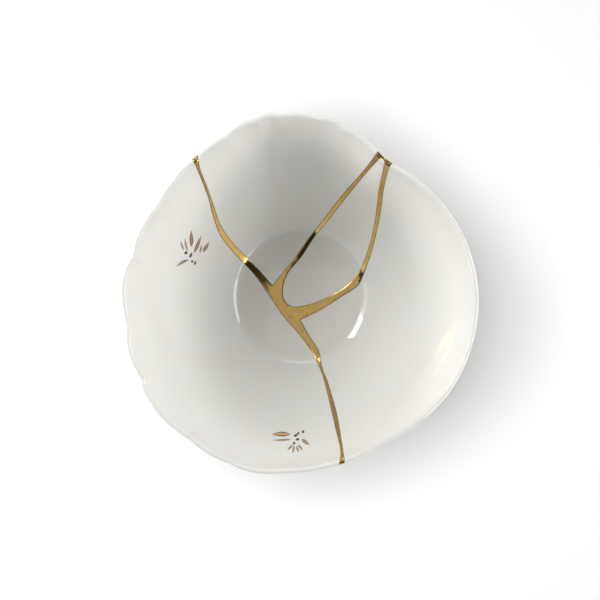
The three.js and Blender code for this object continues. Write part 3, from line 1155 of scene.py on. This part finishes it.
# Softboxes round the bowl: [azimuth from +X, lean from overhead, width, height, brightness], in degrees
# as the bowl sees them. Brightness is what a mirror would show, where 1 is white.
BOWL_SOFTBOXES = {
    "key": [151, 48, 17, 20, 9],
    "key_skirt": [152, 66, 24, 14, 5],
    "left_wing": [178, 60, 24, 24, 2.5],
    "left_edge": [165, 45, 10, 20, 1.5],
    "left_low": [200, 76, 36, 12, 10.4],
    "right_upper": [4, 56, 32, 14, 5.2],
    "right_low": [4, 70, 32, 12, 8.9],
    "front_right_upper": [328, 62, 24, 14, 5.5],
    "front_right_low": [328, 77, 30, 12, 7],
    "back_upper": [90, 55, 30, 14, 2],
    "back_middle": [90, 68, 30, 12, 1.2],
    "back_low": [90, 79, 30, 10, 4.6],
}
# The floor has its own two, so that the soft shadow falls to the right.
FLOOR_SOFTBOXES = {
    "shadow_maker": [172, 18, 36, 36, 6.9],
    "shadow_fill": [345, 40, 74, 74, 0.95],
}
SOFTBOX_DISTANCE = 1.2  # metres, from the bowl's middle
BOWL_MIDDLE_HEIGHT = 0.04
# A wide panel overhead, more to the back and left, as [x, y, height, width, depth, brightness] in metres.
OVERHEAD_PANEL = [-0.35, 0.62, 1.25, 1.5, 1.96, 0.45]
ROOM_LIGHT = 0.02  # the room's own brightness

CAMERA_PLACE = (-0.00021, -0.01954, 0.82425)
CAMERA_TILT = math.radians(1.3)
SENSOR_WIDTH = 36
LENS_IN_SENSOR_WIDTHS = 2.967


def receivers(name, objects):
    """The only things that a light shines on."""
    group = bpy.data.collections.new(name)
    for obj in objects:
        group.objects.link(obj)
    return group


def area_light(name, place, towards_light, width, height, brightness, shines_on):
    """An area light at a place, which faces back along the given direction."""
    light = bpy.data.lights.new(name, "AREA")
    light.shape = "RECTANGLE"
    light.size = width
    light.size_y = height
    light.energy = math.pi * width * height * brightness
    obj = bpy.data.objects.new(name, light)
    bpy.context.scene.collection.objects.link(obj)
    level = Vector((-towards_light.y, towards_light.x, 0))
    level = level.normalized() if level.length > 0 else Vector((1, 0, 0))
    upward = towards_light.cross(level)
    obj.location = place
    obj.rotation_euler = Matrix((level, upward, towards_light)).transposed().to_euler()
    obj.visible_camera = False
    obj.light_linking.receiver_collection = shines_on


def softbox(name, sizes, shines_on):
    azimuth, lean, width, height = (math.radians(angle) for angle in sizes[:4])
    side = math.sin(lean)
    out = Vector((side * math.cos(azimuth), side * math.sin(azimuth), math.cos(lean)))
    area_light(
        name, out * SOFTBOX_DISTANCE + Vector((0, 0, BOWL_MIDDLE_HEIGHT)), out,
        2 * SOFTBOX_DISTANCE * math.tan(width / 2), 2 * SOFTBOX_DISTANCE * math.tan(height / 2),
        sizes[4], shines_on,
    )


def camera():
    data = bpy.data.cameras.new("camera")
    data.sensor_width = SENSOR_WIDTH
    data.lens = SENSOR_WIDTH * LENS_IN_SENSOR_WIDTHS
    obj = bpy.data.objects.new("camera", data)
    bpy.context.scene.collection.objects.link(obj)
    obj.location = CAMERA_PLACE
    obj.rotation_euler = (CAMERA_TILT, 0, 0)
    bpy.context.scene.camera = obj


def studio():
    """A room that gives almost no light of its own and shows white behind the bowl."""
    world = bpy.data.worlds.new("studio")
    world.use_nodes = True
    tree = world.node_tree
    tree.nodes.clear()
    seen = add_node(tree, "ShaderNodeLightPath").outputs["Is Camera Ray"]
    strength = add_node(tree, "ShaderNodeMapRange", {"Value": seen, "To Min": ROOM_LIGHT, "To Max": 1.0})
    white = add_node(
        tree, "ShaderNodeBackground", {"Color": (1, 1, 1, 1), "Strength": strength.outputs["Result"]}
    )
    add_node(tree, "ShaderNodeOutputWorld", {"Surface": white.outputs[0]})
    bpy.context.scene.world = world
    bpy.context.scene.view_settings.view_transform = "Standard"


sweep = floor()
bowl_pieces = receivers("bowl_pieces", [
    obj for obj in bpy.context.scene.objects if obj.type == "MESH" and obj is not sweep
])
sweep_alone = receivers("sweep_alone", [sweep])
for name, sizes in BOWL_SOFTBOXES.items():
    softbox(name, sizes, bowl_pieces)
for name, sizes in FLOOR_SOFTBOXES.items():
    softbox(name, sizes, sweep_alone)
area_light("overhead_panel", OVERHEAD_PANEL[:3], Vector((0, 0, 1)), *OVERHEAD_PANEL[3:], bowl_pieces)
camera()
studio()
